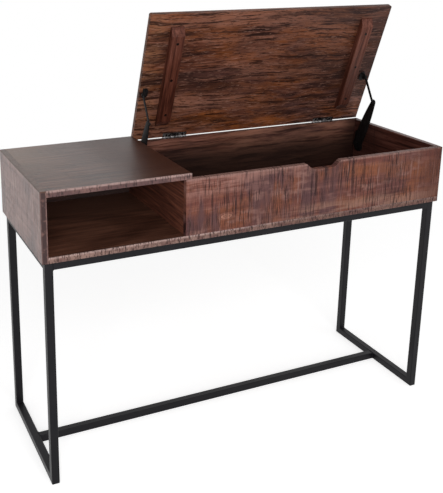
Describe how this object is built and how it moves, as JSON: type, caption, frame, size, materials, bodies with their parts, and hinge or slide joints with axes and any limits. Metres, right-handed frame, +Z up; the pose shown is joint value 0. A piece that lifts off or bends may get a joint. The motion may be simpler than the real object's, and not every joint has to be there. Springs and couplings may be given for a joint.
{
  "type": "lift-top console table",
  "caption": "Dark wood console table on a black square-tube sled frame, with an open cubby at the left and a store under a hinged lid held up by folding stays.",
  "frame": {"origin": "on the floor under the middle of the table, on the floor stretcher's underside", "axes": "+X to the right along the table, +Y to the back, +Z up"},
  "size_m": [1.15, 0.4047, 1.1177],
  "materials": {
    "dark_wood": "dark stained hardwood with saw marks, satin lacquer",
    "beech": "raw beech",
    "frame_black": "satin black powder coat",
    "stay_black": "black lacquered pressed steel",
    "hinge_steel": "dull antique steel",
    "screw_steel": "dark zinc-plated steel",
    "nylon": "natural nylon"
  },
  "bodies": {
    "carcass": {"back_board": "dark_wood", "bottom_board": "dark_wood", "carcass_tongues": "beech", "cubby_top_board": "dark_wood", "divider_board": "dark_wood", "floor_stretcher": "frame_black", "foot_rail_left": "frame_black", "foot_rail_right": "frame_black", "frame_screws": "screw_steel", "front_panel": "dark_wood", "hinge_body_screws": "screw_steel", "hinge_left_body_leaf": "hinge_steel", "hinge_left_pin": "hinge_steel", "hinge_right_body_leaf": "hinge_steel", "hinge_right_pin": "hinge_steel", "left_side_board": "dark_wood", "leg_front_left": "frame_black", "leg_front_right": "frame_black", "leg_rear_left": "frame_black", "leg_rear_right": "frame_black", "right_side_board": "dark_wood", "stay_friction_washers": "nylon", "stay_left_wall_plate": "stay_black", "stay_left_wall_stud": "stay_black", "stay_right_wall_plate": "stay_black", "stay_right_wall_stud": "stay_black", "stay_wall_screws": "screw_steel", "top_rail_front": "frame_black", "top_rail_left": "frame_black", "top_rail_rear": "frame_black", "top_rail_right": "frame_black"},
    "lid": {"lid_panel": "dark_wood", "lid_batten_left": "dark_wood", "lid_batten_right": "dark_wood", "batten_screws": "screw_steel", "hinge_left_lid_leaf": "hinge_steel", "hinge_right_lid_leaf": "hinge_steel", "hinge_lid_screws": "screw_steel", "stay_left_lid_bracket": "stay_black", "stay_right_lid_bracket": "stay_black", "stay_left_lid_stud": "stay_black", "stay_right_lid_stud": "stay_black", "stay_lid_screws": "screw_steel"},
    "stay_left_arm": {"stay_left_arm": "stay_black", "stay_left_elbow_stud": "stay_black"},
    "stay_left_rod": {"stay_left_rod": "stay_black"},
    "stay_right_arm": {"stay_right_arm": "stay_black", "stay_right_elbow_stud": "stay_black"},
    "stay_right_rod": {"stay_right_rod": "stay_black"}
  },
  "joints": [
    {"name": "lid_hinge", "type": "hinge", "parent": "carcass", "child": "lid", "pos_m": [0, 0.1965, 0.747], "axis": [1, 0, 0], "range_deg": [0, 69.9]},
    {"name": "stay_left_arm_pivot", "type": "hinge", "parent": "carcass", "child": "stay_left_arm", "pos_m": [-0.195, 0.1545, 0.675], "axis": [1, 0, 0], "range_deg": [0, 69.9]},
    {"name": "stay_left_rod_pivot", "type": "hinge", "parent": "lid", "child": "stay_left_rod", "pos_m": [-0.1915, 0.13341, 0.89111], "axis": [1, 0, 0], "range_deg": [-69.9, 0]},
    {"name": "stay_right_arm_pivot", "type": "hinge", "parent": "carcass", "child": "stay_right_arm", "pos_m": [0.555, 0.1545, 0.675], "axis": [1, 0, 0], "range_deg": [0, 69.9]},
    {"name": "stay_right_rod_pivot", "type": "hinge", "parent": "lid", "child": "stay_right_rod", "pos_m": [0.5515, 0.13341, 0.89111], "axis": [1, 0, 0], "range_deg": [-69.9, 0]}
  ],
  "couplings": [
    {"joint": "stay_left_arm_pivot", "follows": "lid_hinge", "ratio": 1},
    {"joint": "stay_left_rod_pivot", "follows": "lid_hinge", "ratio": -1},
    {"joint": "stay_right_arm_pivot", "follows": "lid_hinge", "ratio": 1},
    {"joint": "stay_right_rod_pivot", "follows": "lid_hinge", "ratio": -1}
  ]
}
